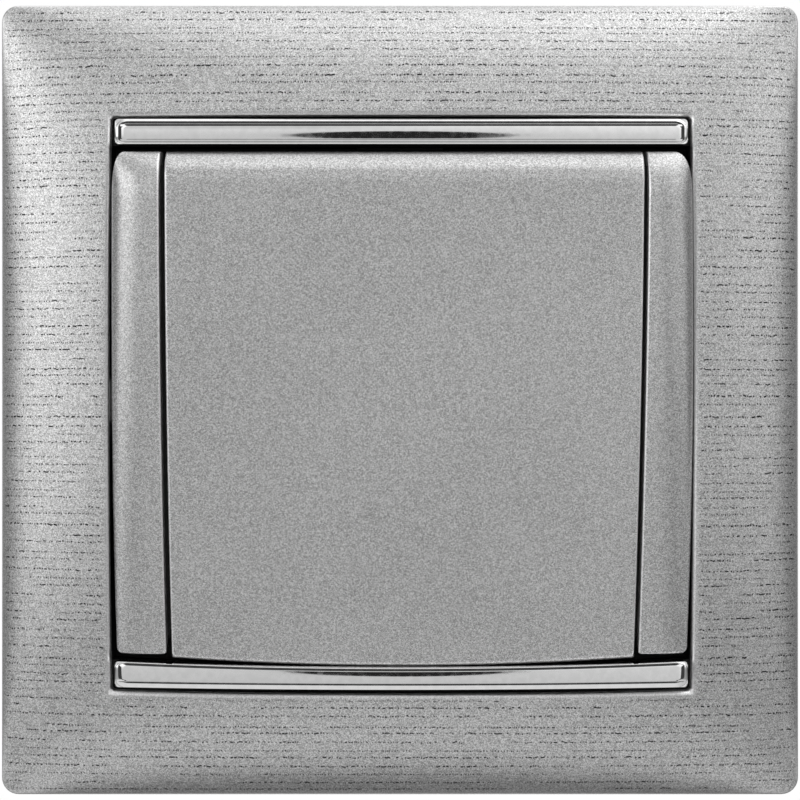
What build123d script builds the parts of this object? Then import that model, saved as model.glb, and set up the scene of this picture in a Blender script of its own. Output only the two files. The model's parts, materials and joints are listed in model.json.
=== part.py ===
from build123d import *
import math
import os

# A flush rocker wall switch: surround frame, two trim strips, a three-piece key and the switch insert.
#
# Everything is drawn lying on the bench: X to the right, Y up the wall, Z out of the wall, with the wall
# plane at Z = 0 and the centre of the fixing screws at the origin. stand_up() turns the bench frame into
# the part's own frame, +Z up with the front facing -Y. Lengths are millimetres and angles degrees.
# The pieces of the key are drawn in the key's own frame, with the pivot at its origin and the face level,
# and seat_key() tilts them to rest, lower end pressed in.

# ---- Surround frame -------------------------------------------------------------------------------------
FRAME_W, FRAME_H = 84.0, 83.2
FRAME_CORNER_R = 1.8
RIM_Z = 2.5                  # height of the straight skirt round the outside
PILLOW_RISE = 7.5            # rise of the front surface from the rim to its highest point
PILLOW_POWER = 2.8           # how flat the middle of the front surface is
PILLOW_SOFTNESS = 0.13       # keeps the surface's slope finite at the rim
FRAME_SKIN = 1.6
SKIRT_WALL = 1.5
EDGE_BREAK = 0.2             # rounding of the frame's visible edges
FRAME_GRID, FRAME_GRID_MARGIN = 40, 0.15

# ---- Opening in the frame, straight at the top and slightly bowed on the other three sides ---------------
OPENING_LEFT, OPENING_RIGHT = -29.97, 30.18
OPENING_TOP, OPENING_BOTTOM = 29.37, -30.14
SIDE_BOW, BOTTOM_BOW = 0.15, 0.28
OPENING_CORNER_R = 0.4

# ---- Liner, the black ring behind the opening, and its ledges for the trim strips ------------------------
LINER_WALL = 1.3
LINER_GAP = 0.1              # between the liner and the frame's skin over it
LINER_FOOT_Z = 1.1
LINER_FLANGE_Z = 2.3
LINER_FLANGE_REACH = 3.6
LEDGE_Z = 5.2
LEDGE_SETBACK = 0.1
LINER_SHELF_Z = 1.8          # a thin black shelf under the key closes the view to the plate
LINER_SHELF_X, LINER_SHELF_Y = 26.1, 24.0
SCREW_NOTCH_W, SCREW_NOTCH_Z, SCREW_NOTCH_START = 9.0, 2.6, 26.3
NOTCH_COVER_Y, NOTCH_COVER_T = ((26.2, 27.5), (-28.6, -27.6)), 0.8

# ---- Trim strips ----------------------------------------------------------------------------------------
STRIP_LEFT, STRIP_RIGHT = -29.40, 29.67
STRIP_CORNER_R = 0.4
STRIP_EDGE_Z, STRIP_CROWN_Z = 8.2, 8.5
STRIP_WALL_Z = 7.95
STRIP_BEVEL = 0.34
TOP_STRIP_Y = (26.40, 28.99)
LOW_STRIP_END_Y, LOW_STRIP_MID_Y = (-29.60, -26.94), (-29.88, -27.93)
STRIP_SEAT_GAP = 0.03

# ---- Key: pivot, travel and the outline seen from the front ----------------------------------------------
PIVOT_Y, PIVOT_Z = -0.4, 2.3
REST_TILT = 4.0
FACE_Z = 7.1                 # height of the key's face over the pivot
FACE_CROWN = 0.22
KEY_TOP = 26.26
WING_BOTTOM = -25.52
PANEL_END_BOTTOM, PANEL_MID_BOTTOM = -25.80, -26.87
PANEL_X = 0.35
PANEL_HALF_TOP, PANEL_HALF_BOTTOM = 24.47, 23.96
SEAM_LEFT, SEAM_RIGHT = 0.55, 0.42
WING_OUT_LEFT, WING_OUT_RIGHT = -29.70, 30.03
WING_OUT_TAPER = 0.22        # how far a wing's outer edge comes in by its lower end
PANEL_TOP_R, PANEL_BOTTOM_R = 3.0, 0.7
PANEL_SIDE_BREAK = 0.18
WING_TOP_CORNER, WING_TOP_CORNER_POWER = (2.0, 4.7), 2.4
WING_FOOT_OUTER_R, WING_FOOT_INNER_R = 0.75, 0.3
WING_EDGE_DROP = (2.3, 0.9)   # how far a wing falls away outwards, at its top and at its foot
WING_END_ROUND = 5.0
WING_SIDE_POWER, WING_END_POWER = 3.0, 2.4
WING_SOFTNESS = 0.16
WING_GRID, WING_GRID_MARGIN = (14, 30), 0.03

# ---- Key: section ---------------------------------------------------------------------------------------
SKIRT_Z = 1.6                # lower edge of the key's skirts, over the pivot
SEAT_Z = 5.0                 # where panel and wings sit on the carrier
KEY_SKIRT_WALL = 1.4
WING_SKIRT_WALL = 2.5
CARRIER_Z = 3.1
CARRIER_GAP = 0.05
CARRIER_RIM_Z = 1.9

# ---- Rocker cradle, plunger and spring -------------------------------------------------------------------
CRADLE_HALF_X, CRADLE_HALF_Y, CRADLE_LOW_Z = 11.0, 5.0, -1.5
TRUNNION_R, TRUNNION_END_X = 1.5, 14.2
GUIDE_R, GUIDE_LOW_Z = 3.4, -6.4
PLUNGER_R, PLUNGER_CLEARANCE = 2.0, 0.04
PLUNGER_TOP_Z, PLUNGER_SHOULDER_Z = -2.9, -6.9
PLUNGER_TIP_R, PLUNGER_TIP_Z = 1.2, -8.5
POCKET_TOP_Z = 1.5
CRADLE_WALL, CRADLE_WEB = 1.5, 0.4
SPRING_WIRE_R, SPRING_COIL_R, SPRING_TURNS = 0.22, 1.4, 4.5

# ---- Contact seesaw, on a knife edge behind the plunger --------------------------------------------------
SEESAW_Y, SEESAW_Z = PIVOT_Y, -8.2
SEESAW_REST_TILT = -6.0
SEESAW_HALF_X = 2.5
SEESAW_ARM_SLOPE = 5.0
SEESAW_CONTACT_ARM, SEESAW_FREE_ARM = 12.6, 9.0
SEESAW_UNDER_Z, SEESAW_TOP_Z = -0.4, 0.5
GROOVE_HALF_Y, GROOVE_APEX_Z = 0.75, 0.05
MOVING_TIP_R, MOVING_TIP_H, MOVING_TIP_ARM = 1.4, 0.7, 11.2

# ---- Terminals ------------------------------------------------------------------------------------------
BRASS_T = 0.8
TERMINAL_HALF_X, LEG_HALF_X = 7.0, 4.0
COMMON_Y = (-1.0, 11.6)
LOAD_Y = (-13.6, -3.0)
LEG_OUTER_Y, LEG_LOW_Z = 11.6, -19.0
KNIFE_HALF_Y, KNIFE_BEVEL_Z = 0.5, 0.87
FIXED_TIP_R, FIXED_TIP_Y, FIXED_TIP_TOP_Z = 1.6, -11.53, -9.6
CLAMP_HALF_X, CLAMP_T = 3.5, 0.4
CLAMP_ROUTE = ((10.4, -12.6), (3.0, -12.6), (3.0, -16.0), (7.0, -17.8))

# ---- Release buttons, one per terminal ------------------------------------------------------------------
BUTTON_Y, BUTTON_HALF_X, BUTTON_HALF_Y = 4.5, 2.0, 1.2
BUTTON_CLEARANCE = 0.1
BUTTON_HEAD_GROW = 0.5
BUTTON_HEAD_T, BUTTON_TAIL = 0.8, 1.2

# ---- Insert: base housing, cover and support plate -------------------------------------------------------
BASE_HALF_X, BASE_HALF_Y, BASE_BACK_Z = 19.0, 18.0, -22.0
BASE_EDGE_R = 2.0
BACK_WALL = 1.6
CHAMBER_HALF_X, CHAMBER_HALF_Y, CHAMBER_FLOOR_Z = 15.2, 14.2, -11.8
POCKET_HALF_X, POCKET_Y = 6.0, (2.0, 12.2)
WIRE_R, WIRE_Y = 1.6, 9.0
PLATE_SIDE, PLATE_T, PLATE_CORNER_R = 71.0, 1.0, 4.0
PLATE_WINDOW_HALF_X, PLATE_WINDOW_HALF_Y = 15.2, 14.2
FIXING_RADIUS = 30.0         # half the distance between the fixing screws of a wall box
SLOT_LENGTH, SLOT_W = 6.0, 4.2
LUG_X, LUG_HALF_X, LUG_T, LUG_TOP_Z = 20.0, 2.5, 1.0, 4.2
LUG_Y = (28.0, -29.0)
LUG_CLEARANCE = 0.1
COVER_HALF_X, COVER_HALF_Y, COVER_T = 20.0, 19.0, 1.4
COVER_WINDOW_HALF_X, COVER_WINDOW_HALF_Y = 11.5, 8.6
EAR_OUT_X, EAR_HALF_Y, EAR_LOW_Z, EAR_TOP_Z = 14.6, 3.2, -0.7, 4.7
BEARING_CLEARANCE = 0.05
COVER_SCREW_R, COVER_SCREW_END_Z = 1.1, -7.0
COVER_SCREW_PLACES = [(x, y) for x in (-17.0, 17.0) for y in (-16.0, 16.0)]
SCREW_HEAD_R, SCREW_HEAD_T = 1.9, 1.2
SCREW_SLOT_W, SCREW_SLOT_DEPTH = 0.6, 0.6

# ---- Claws and their screws, one pair each side ----------------------------------------------------------
CLAW_SCREW_X, CLAW_SCREW_R, CLAW_SCREW_END_Z = 23.2, 1.5, -20.0
CLAW_HEAD_R, CLAW_HEAD_T, CLAW_HEAD_GAP = 2.6, 1.65, 0.05
PLATE_HOLE_R = 1.7
CLAW_PIVOT_Z, CLAW_T, CLAW_HALF_Y = -17.5, 1.0, 6.0
CLAW_ARM_X, CLAW_LUG_END_X, CLAW_FRONT_Z = 20.0, 26.4, -4.8
CLAW_HOLE_HALF_X, CLAW_HOLE_HALF_Y = 2.1, 1.8
CLAW_FORK_HALF_Y = 2.1
CLAW_TOOTH_X, CLAW_TOOTH_DEPTH, CLAW_TEETH = 24.6, 1.2, 2

DEEP = 30.0                  # long enough to pass right through anything here


# ---- Helpers --------------------------------------------------------------------------------------------
def block(x, y, z):
    """A box between three (low, high) limits."""
    limits = (x, y, z)
    size = [high - low for low, high in limits]
    return Pos(*[(low + high) / 2 for low, high in limits]) * Box(*size)


def rod(x, y, z, radius):
    """A round bar along Z between the two heights in z."""
    return Pos(x, y, (z[0] + z[1]) / 2) * Cylinder(radius, z[1] - z[0])


def prism(outline, low, high):
    """A closed outline in XY, drawn from z = low to z = high."""
    return Pos(0, 0, low) * extrude(outline, amount=high - low)


def side_prism(points, low, high):
    """A polygon of (y, z) points drawn along X."""
    face = Plane.YZ.offset(low) * make_face(Polyline(*points, close=True))
    return extrude(face, amount=high - low)


def rectangle(left, right, bottom, top):
    """A rectangular face in XY between four edges."""
    return Pos((left + right) / 2, (bottom + top) / 2) * Rectangle(right - left, top - bottom)


def both(solid):
    """A solid and its mirror image across the YZ plane."""
    return solid + mirror(solid, about=Plane.YZ)


def window(half_x, half_y):
    """A rectangular hole through everything in front of the wall plane and just behind it."""
    return block((-half_x, half_x), (-half_y, half_y), (-PLATE_T, DEEP))


def dense_ends(low, high, steps):
    """Stations from low to high, closer together near both ends."""
    middle, half = (low + high) / 2, (high - low) / 2
    return [middle - half * math.cos(math.pi * i / steps) for i in range(steps + 1)]


def dense_end(low, high, steps):
    """Stations from low to high, closer together near the high end."""
    return [low + (high - low) * math.sin(math.pi / 2 * i / steps) for i in range(steps + 1)]


def soft_root(value, softness):
    """A square root from 0 to 1 whose slope stays finite at 0."""
    full = math.sqrt(1 + softness**2) - softness
    return (math.sqrt(max(value + softness**2, 0.0)) - softness) / full


def above(points):
    """The space over a surface given as rows of points."""
    face = Face.make_surface_from_array_of_points(points, tol=0.002, max_deg=5)
    return Solid.extrude(face, Vector(0, 0, DEEP))


def seat_key(solid):
    """From the key's own frame to its place at rest."""
    return Pos(0, PIVOT_Y, PIVOT_Z) * Rot(REST_TILT, 0, 0) * solid


def seat_seesaw(solid):
    """From the seesaw's own frame to its place at rest."""
    return Pos(0, SEESAW_Y, SEESAW_Z) * Rot(SEESAW_REST_TILT, 0, 0) * solid


def stand_up(solid):
    """From the bench frame to the part's own frame."""
    return Rot(90, 0, 0) * solid


# ---- Surround frame, liner and trim strips --------------------------------------------------------------
def pillow_height(x, y):
    """Height of the frame's front surface."""
    across = 1 - abs(2 * x / FRAME_W) ** PILLOW_POWER
    along = 1 - abs(2 * y / FRAME_H) ** PILLOW_POWER
    return RIM_Z + PILLOW_RISE * soft_root(across * along, PILLOW_SOFTNESS)


def above_pillow(lowered):
    """The space over the frame's front surface, moved back by a depth."""
    half_w, half_h = FRAME_W / 2 + FRAME_GRID_MARGIN, FRAME_H / 2 + FRAME_GRID_MARGIN
    columns = dense_ends(-half_w, half_w, FRAME_GRID)
    rows = dense_ends(-half_h, half_h, FRAME_GRID)
    return above([[(x, y, pillow_height(x, y) - lowered) for x in columns] for y in rows])


def opening_outline(grow=0.0):
    """The frame's opening, with every side moved out by grow."""
    left, right = OPENING_LEFT - grow, OPENING_RIGHT + grow
    bottom, top = OPENING_BOTTOM - grow, OPENING_TOP + grow
    middle_x, middle_y = (left + right) / 2, (bottom + top) / 2
    edges = [
        Line((left, top), (right, top)),
        ThreePointArc((right, top), (right + SIDE_BOW, middle_y), (right, bottom)),
        ThreePointArc((right, bottom), (middle_x, bottom - BOTTOM_BOW), (left, bottom)),
        ThreePointArc((left, bottom), (left - SIDE_BOW, middle_y), (left, top)),
    ]
    face = make_face(Curve() + edges)
    return fillet(face.vertices(), OPENING_CORNER_R + grow)


def on_lip(point):
    """Whether a point lies on the front edge of the frame's opening."""
    inside = max(abs(point.X), abs(point.Y)) < OPENING_RIGHT + SKIRT_WALL
    return inside and point.Z > pillow_height(point.X, point.Y) - FRAME_SKIN / 2


def surround_frame():
    outside = prism(RectangleRounded(FRAME_W, FRAME_H, FRAME_CORNER_R), 0, DEEP)
    inner_r = FRAME_CORNER_R - SKIRT_WALL
    inset = RectangleRounded(FRAME_W - 2 * SKIRT_WALL, FRAME_H - 2 * SKIRT_WALL, inner_r)
    hollow = prism(inset, 0, DEEP) - above_pillow(FRAME_SKIN)
    frame = outside - above_pillow(0) - prism(opening_outline(), -1, DEEP) - hollow
    return fillet([edge for edge in frame.edges() if on_lip(edge.center())], EDGE_BREAK)


def screw_notches():
    """Room round the fixing screws' heads, through the liner's foot on all four sides."""
    half = SCREW_NOTCH_W / 2
    notch = block((SCREW_NOTCH_START, FIXING_RADIUS + DEEP), (-half, half), (0, SCREW_NOTCH_Z))
    return [Rot(0, 0, 90 * turn) * notch for turn in range(4)]


def notch_covers():
    """Lips of the two ledges that hide the screw notches from the front."""
    half, top = SCREW_NOTCH_W / 2, SCREW_NOTCH_Z + NOTCH_COVER_T
    return [block((-half, half), reach, (SCREW_NOTCH_Z, top)) for reach in NOTCH_COVER_Y]


def low_ledge_outline(setback):
    """Outline of the lower ledge: its upper edge is an arc that follows the key's lower end."""
    end_y, middle_y = LOW_STRIP_END_Y[1] - setback, LOW_STRIP_MID_Y[1] - setback
    low = OPENING_BOTTOM - LINER_WALL / 2
    left_end, right_end = (OPENING_LEFT, end_y), (OPENING_RIGHT, end_y)
    edges = [
        ThreePointArc(left_end, (PANEL_X, middle_y), right_end),
        Polyline(right_end, (OPENING_RIGHT, low), (OPENING_LEFT, low), left_end),
    ]
    return make_face(Curve() + edges)


def lugs(grow):
    """The four upright lugs of the support plate that hold the liner, enlarged by grow."""
    half_x, half_t = LUG_HALF_X + grow, LUG_T / 2 + grow
    height = (PLATE_T / 2, LUG_TOP_Z + grow)
    places = [(x, y) for x in (-LUG_X, LUG_X) for y in LUG_Y]
    return [block((x - half_x, x + half_x), (y - half_t, y + half_t), height) for x, y in places]


def frame_liner():
    opening = prism(opening_outline(), -1, DEEP)
    wall = prism(opening_outline(LINER_WALL), LINER_FOOT_Z, DEEP)
    flange = prism(opening_outline(LINER_FLANGE_REACH), LINER_FOOT_Z, LINER_FLANGE_Z)
    shelf = prism(opening_outline(), LINER_FOOT_Z, LINER_SHELF_Z) - window(LINER_SHELF_X, LINER_SHELF_Y)
    top_edge = TOP_STRIP_Y[0] + LEDGE_SETBACK
    top_ledge = rectangle(OPENING_LEFT, OPENING_RIGHT, top_edge, OPENING_TOP + LINER_WALL / 2)
    ring = (wall + flange - opening) + shelf
    for outline in (top_ledge, low_ledge_outline(LEDGE_SETBACK)):
        ring += prism(outline, LINER_FOOT_Z, LEDGE_Z)
    ring -= above_pillow(FRAME_SKIN + LINER_GAP)
    return ring - screw_notches() - lugs(LUG_CLEARANCE) + notch_covers()


def strip_section(low, high):
    """Section of a trim strip: a low crown between two bevels, as (y, z) edges on the YZ plane."""
    foot = LEDGE_Z + STRIP_SEAT_GAP
    crown_low, crown_high = low + STRIP_BEVEL, high - STRIP_BEVEL
    crown_start, crown_end = (crown_low, STRIP_EDGE_Z), (crown_high, STRIP_EDGE_Z)
    sides = [(low, STRIP_WALL_Z), (low, foot), (high, foot), (high, STRIP_WALL_Z)]
    edges = [
        Polyline(crown_start, *sides, crown_end),
        ThreePointArc(crown_end, ((low + high) / 2, STRIP_CROWN_Z), crown_start),
    ]
    return make_face(Curve() + edges)


def chrome_strip_top():
    low, high = TOP_STRIP_Y
    bar = extrude(Plane.YZ.offset(STRIP_LEFT) * strip_section(low, high), amount=STRIP_RIGHT - STRIP_LEFT)
    outline = fillet(rectangle(STRIP_LEFT, STRIP_RIGHT, low, high).vertices(), STRIP_CORNER_R)
    return bar & prism(outline, 0, DEEP)


def chrome_strip_bottom():
    (end_low, end_high), (mid_low, mid_high) = LOW_STRIP_END_Y, LOW_STRIP_MID_Y
    section = Plane.YZ.offset(STRIP_LEFT) * strip_section(mid_low, end_high)
    bar = extrude(section, amount=STRIP_RIGHT - STRIP_LEFT)
    edges = [
        ThreePointArc((STRIP_LEFT, end_high), (PANEL_X, mid_high), (STRIP_RIGHT, end_high)),
        Line((STRIP_RIGHT, end_high), (STRIP_RIGHT, end_low)),
        ThreePointArc((STRIP_RIGHT, end_low), (PANEL_X, mid_low), (STRIP_LEFT, end_low)),
        Line((STRIP_LEFT, end_low), (STRIP_LEFT, end_high)),
    ]
    outline = fillet(make_face(Curve() + edges).vertices(), STRIP_CORNER_R)
    return bar & prism(outline, 0, DEEP)


# ---- Key, in its own frame ------------------------------------------------------------------------------
def at_height(y, value_top, value_bottom):
    """A value that changes evenly from the key's top to the wings' lower end."""
    share = (KEY_TOP - y) / (KEY_TOP - WING_BOTTOM)
    return value_top + (value_bottom - value_top) * share


def panel_edge(side, y):
    """The panel's left (-1) or right (+1) edge."""
    return PANEL_X + side * at_height(y, PANEL_HALF_TOP, PANEL_HALF_BOTTOM)


def wing_inner(side, y):
    """A wing's edge along the seam."""
    return panel_edge(side, y) + side * (SEAM_RIGHT if side > 0 else SEAM_LEFT)


def wing_outer(side, y):
    """A wing's outer edge, which comes in towards its lower end along a parabola."""
    share = max(0.0, -y / -WING_BOTTOM)
    edge = WING_OUT_RIGHT if side > 0 else WING_OUT_LEFT
    return edge - side * WING_OUT_TAPER * share**2


def face_height(y):
    """Height of the key's gently crowned face over the pivot."""
    middle, half = (KEY_TOP + WING_BOTTOM) / 2, (KEY_TOP - WING_BOTTOM) / 2
    return FACE_Z - FACE_CROWN * ((y - middle) / half) ** 2


def key_panel():
    top, low = KEY_TOP, PANEL_MID_BOTTOM
    crown = Spline(*[(y, face_height(y)) for y in (top, top / 2, 0, low / 2, low)])
    skirts = Polyline((low, face_height(low)), (low, SKIRT_Z), (top, SKIRT_Z), (top, face_height(top)))
    profile = make_face(Curve() + [crown, skirts])
    top_corner = profile.vertices().sort_by_distance((top, face_height(top), 0))[0]
    profile = fillet(top_corner, PANEL_TOP_R)
    reach = -WING_OUT_LEFT
    body = extrude(Plane.YZ.offset(-reach) * profile, amount=2 * reach)
    corners = [(side, y) for side, y in ((-1, top), (1, top), (1, PANEL_END_BOTTOM), (-1, PANEL_END_BOTTOM))]
    top_left, top_right, low_right, low_left = [(panel_edge(side, y), y) for side, y in corners]
    ends = Polyline(low_left, top_left, top_right, low_right)
    outline = make_face(Curve() + [ends, ThreePointArc(low_right, (PANEL_X, low), low_left)])
    panel = body & prism(outline, 0, DEEP)
    panel -= block((-reach, reach), (PANEL_END_BOTTOM + KEY_SKIRT_WALL, top - KEY_SKIRT_WALL), (0, SEAT_Z))
    low_edge = panel.edges().filter_by(lambda e: e.center().Y < PANEL_END_BOTTOM and e.center().Z > SEAT_Z)
    panel = fillet(low_edge, PANEL_BOTTOM_R)
    front = FACE_Z - PANEL_TOP_R / 2
    sides = panel.edges().filter_by(lambda e: e.length > top and e.center().Z > front)
    return fillet(sides, PANEL_SIDE_BREAK)


def wing_height(share, y):
    """Height of a wing's surface, at a share of its width from the seam outwards."""
    outwards = 1 - max(share, 0.0) ** WING_SIDE_POWER
    upwards = 1 - max((y - KEY_TOP + WING_END_ROUND) / WING_END_ROUND, 0.0) ** WING_END_POWER
    fall = 1 - soft_root(outwards * upwards, WING_SOFTNESS)
    return face_height(y) - at_height(y, *WING_EDGE_DROP) * fall


def above_wing(side):
    """The space over a wing's surface."""
    margin = WING_GRID_MARGIN
    across, along = WING_GRID
    shares = dense_end(-margin, 1, across) + [1 + margin / 2]
    rows = dense_end(WING_BOTTOM - WING_FOOT_OUTER_R, KEY_TOP, along) + [KEY_TOP + margin]
    points = []
    for y in rows:
        inner, outer = wing_inner(side, y), wing_outer(side, y)
        points.append([(inner + (outer - inner) * s, y, wing_height(s, y)) for s in shares])
    return above(points)


def wing_outline(side):
    """A wing seen from the front: a long swept corner at the top, small corners at the foot."""
    sweep_x, sweep_y = WING_TOP_CORNER
    shoulder = KEY_TOP - sweep_y
    inner_top, inner_foot = [(wing_inner(side, y), y) for y in (KEY_TOP, WING_BOTTOM)]
    outer_foot, quarter, middle, outer_top = [
        (wing_outer(side, y), y) for y in (WING_BOTTOM, WING_BOTTOM / 2, 0, shoulder)
    ]
    centre_x = outer_top[0] - side * sweep_x
    corner_end = (centre_x, KEY_TOP)
    turn = 0.5 ** (1 / WING_TOP_CORNER_POWER)
    halfway = (centre_x + side * sweep_x * turn, shoulder + sweep_y * turn)
    edges = [
        Polyline(corner_end, inner_top, inner_foot, outer_foot),
        ThreePointArc(outer_foot, quarter, middle),
        Line(middle, outer_top),
        Spline(outer_top, halfway, corner_end, tangents=[(0, 1), (-side, 0)]),
    ]
    face = make_face(Curve() + edges)
    for foot, radius in ((inner_foot, WING_FOOT_INNER_R), (outer_foot, WING_FOOT_OUTER_R)):
        face = fillet(face.vertices().sort_by_distance(foot)[0], radius)
    return face


def key_wing(side):
    wing = prism(wing_outline(side), SKIRT_Z, DEEP) - above_wing(side)
    outer = wing_outer(side, WING_BOTTOM) - side * WING_SKIRT_WALL
    ends = (WING_BOTTOM + KEY_SKIRT_WALL, KEY_TOP - KEY_SKIRT_WALL)
    return wing - block(sorted((PANEL_X, outer)), ends, (0, SEAT_Z))


def key_carrier():
    gap = CARRIER_GAP
    left = wing_outer(-1, WING_BOTTOM) + WING_SKIRT_WALL + gap
    right = wing_outer(1, WING_BOTTOM) - WING_SKIRT_WALL - gap
    low, high = WING_BOTTOM + KEY_SKIRT_WALL + gap, KEY_TOP - KEY_SKIRT_WALL - gap
    plate = block((left, right), (low, high), (CARRIER_RIM_Z, SEAT_Z - gap))
    rim = KEY_SKIRT_WALL
    return plate - block((left + rim, right - rim), (low + rim, high - rim), (0, CARRIER_Z))


def rocker_cradle():
    body = block((-CRADLE_HALF_X, CRADLE_HALF_X), (-CRADLE_HALF_Y, CRADLE_HALF_Y), (CRADLE_LOW_Z, CARRIER_Z))
    trunnions = Rot(0, 90, 0) * Cylinder(TRUNNION_R, 2 * TRUNNION_END_X)
    guide = rod(0, 0, (GUIDE_LOW_Z, 0), GUIDE_R)
    bore = rod(0, 0, (GUIDE_LOW_Z - PLUNGER_R, POCKET_TOP_Z), PLUNGER_R + PLUNGER_CLEARANCE)
    inner_y = CRADLE_HALF_Y - CRADLE_WALL
    recess_x = (GUIDE_R + CRADLE_WALL, CRADLE_HALF_X - CRADLE_WALL)
    recess = block(recess_x, (-inner_y, inner_y), (TRUNNION_R + CRADLE_WEB, CARRIER_Z))
    return body + trunnions + guide - bore - both(recess)


def plunger():
    body = rod(0, 0, (PLUNGER_SHOULDER_Z, PLUNGER_TOP_Z), PLUNGER_R)
    nose_length = PLUNGER_SHOULDER_Z - PLUNGER_TIP_Z
    nose = Pos(0, 0, PLUNGER_SHOULDER_Z - nose_length / 2) * Cone(PLUNGER_TIP_R, PLUNGER_R, nose_length)
    return body + nose + Pos(0, 0, PLUNGER_TIP_Z) * Sphere(PLUNGER_TIP_R)


def plunger_spring():
    low, high = PLUNGER_TOP_Z + SPRING_WIRE_R, POCKET_TOP_Z - SPRING_WIRE_R
    path = Pos(0, 0, low) * Helix((high - low) / SPRING_TURNS, high - low, SPRING_COIL_R)
    section = Plane(origin=path @ 0, z_dir=path % 0) * Circle(SPRING_WIRE_R)
    return sweep(section, path=path)


# ---- Contact seesaw, in its own frame -------------------------------------------------------------------
def contact_seesaw():
    rise = math.tan(math.radians(SEESAW_ARM_SLOPE))
    contact_end, free_end, groove = -SEESAW_CONTACT_ARM, SEESAW_FREE_ARM, GROOVE_HALF_Y
    under = [(y, SEESAW_UNDER_Z + abs(y) * rise) for y in (contact_end, -groove, groove, free_end)]
    top = [(y, SEESAW_TOP_Z + abs(y) * rise) for y in (free_end, 0, contact_end)]
    outline = under[:2] + [(0, GROOVE_APEX_Z)] + under[2:] + top
    return side_prism(outline, -SEESAW_HALF_X, SEESAW_HALF_X)


def moving_contact_tip():
    seat = SEESAW_UNDER_Z + MOVING_TIP_ARM * math.tan(math.radians(SEESAW_ARM_SLOPE))
    tip = rod(0, 0, (-MOVING_TIP_H, 0), MOVING_TIP_R)
    return Pos(0, -MOVING_TIP_ARM, seat) * Rot(-SEESAW_ARM_SLOPE, 0, 0) * tip


# ---- Terminals and release buttons ----------------------------------------------------------------------
def terminal(span, leg_side):
    """A brass strip on the chamber floor with a leg down into its terminal pocket."""
    floor = (CHAMBER_FLOOR_Z, CHAMBER_FLOOR_Z + BRASS_T)
    strip = block((-TERMINAL_HALF_X, TERMINAL_HALF_X), span, floor)
    leg_y = sorted((leg_side * LEG_OUTER_Y, leg_side * (LEG_OUTER_Y - BRASS_T)))
    return strip + block((-LEG_HALF_X, LEG_HALF_X), leg_y, (LEG_LOW_Z, floor[1]))


def common_terminal():
    base = CHAMBER_FLOOR_Z + BRASS_T / 2
    half, bevel = KNIFE_HALF_Y, SEESAW_Z - KNIFE_BEVEL_Z
    blade = [(-half, base), (half, base), (half, bevel), (0, SEESAW_Z), (-half, bevel)]
    points = [(y + SEESAW_Y, z) for y, z in blade]
    return terminal(COMMON_Y, 1) + side_prism(points, -SEESAW_HALF_X, SEESAW_HALF_X)


def load_terminal():
    return terminal(LOAD_Y, -1)


def fixed_contact_tip():
    return rod(0, FIXED_TIP_Y, (CHAMBER_FLOOR_Z + BRASS_T, FIXED_TIP_TOP_Z), FIXED_TIP_R)


def clamp_spring(side):
    """A leaf spring bent round three sides of its pocket; its tongue presses a wire on the terminal's leg."""
    route = [(side * y, z) for y, z in CLAMP_ROUTE]
    strip = make_face(offset(Polyline(*route), CLAMP_T / 2, side=Side.BOTH))
    return extrude(Plane.YZ.offset(-CLAMP_HALF_X) * strip, amount=2 * CLAMP_HALF_X)


def release_button(side):
    tail_y = (side * BUTTON_Y - BUTTON_HALF_Y, side * BUTTON_Y + BUTTON_HALF_Y)
    inside = BASE_BACK_Z + BACK_WALL
    tail = block((-BUTTON_HALF_X, BUTTON_HALF_X), tail_y, (BASE_BACK_Z - BUTTON_TAIL, inside + BUTTON_HEAD_T))
    head_x = BUTTON_HALF_X + BUTTON_HEAD_GROW
    head_y = (tail_y[0] - BUTTON_HEAD_GROW, tail_y[1] + BUTTON_HEAD_GROW)
    return tail + block((-head_x, head_x), head_y, (inside, inside + BUTTON_HEAD_T))


# ---- Insert ---------------------------------------------------------------------------------------------
def cover_screw_holes():
    return [rod(x, y, (COVER_SCREW_END_Z, DEEP), COVER_SCREW_R) for x, y in COVER_SCREW_PLACES]


def base_housing():
    base = prism(RectangleRounded(2 * BASE_HALF_X, 2 * BASE_HALF_Y, BASE_EDGE_R), BASE_BACK_Z, 0)
    back = base.faces().sort_by(Axis.Z)[0]
    base = chamfer(back.edges(), BASE_EDGE_R / 2)
    chamber_x, chamber_y = (-CHAMBER_HALF_X, CHAMBER_HALF_X), (-CHAMBER_HALF_Y, CHAMBER_HALF_Y)
    base -= block(chamber_x, chamber_y, (CHAMBER_FLOOR_Z, DEEP))
    inside = BASE_BACK_Z + BACK_WALL
    half_x, half_y = BUTTON_HALF_X + BUTTON_CLEARANCE, BUTTON_HALF_Y + BUTTON_CLEARANCE
    for side in (-1, 1):
        pocket_y = sorted((side * POCKET_Y[0], side * POCKET_Y[1]))
        base -= block((-POCKET_HALF_X, POCKET_HALF_X), pocket_y, (inside, DEEP))
        base -= rod(0, side * WIRE_Y, (-DEEP, inside + BACK_WALL / 2), WIRE_R)
        middle = side * BUTTON_Y
        base -= block((-half_x, half_x), (middle - half_y, middle + half_y), (-DEEP, inside + BACK_WALL / 2))
    return base - cover_screw_holes()


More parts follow.
